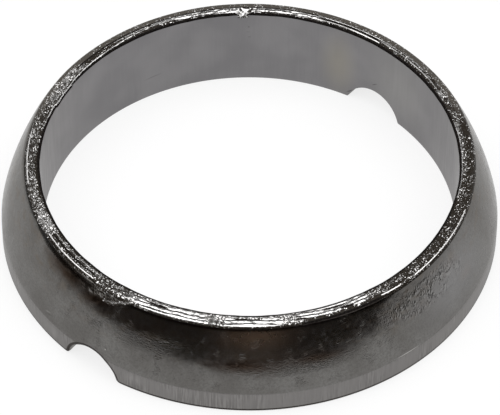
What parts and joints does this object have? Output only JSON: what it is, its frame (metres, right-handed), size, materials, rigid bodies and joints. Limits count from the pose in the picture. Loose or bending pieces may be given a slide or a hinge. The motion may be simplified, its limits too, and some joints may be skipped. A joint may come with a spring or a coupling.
{
  "type": "exhaust gasket",
  "caption": "Ball-seat exhaust gasket: one pressed ring with a plain bore, a spherical outer seat, a short straight band, a narrow top land and opposed locating notches in its base.",
  "frame": {"origin": "centre of the flat base, on the bore's axis", "axes": "+Z along the bore's axis from the wide base to the narrow top land; the two locating notches lie on the X axis"},
  "size_m": [0.0762, 0.0766, 0.0145],
  "materials": {
    "pressed_wire_graphite": "dark satin steel grey, burnished black on the seat"
  },
  "bodies": {
    "root": {"gasket_ring": "pressed_wire_graphite"}
  },
  "joints": []
}
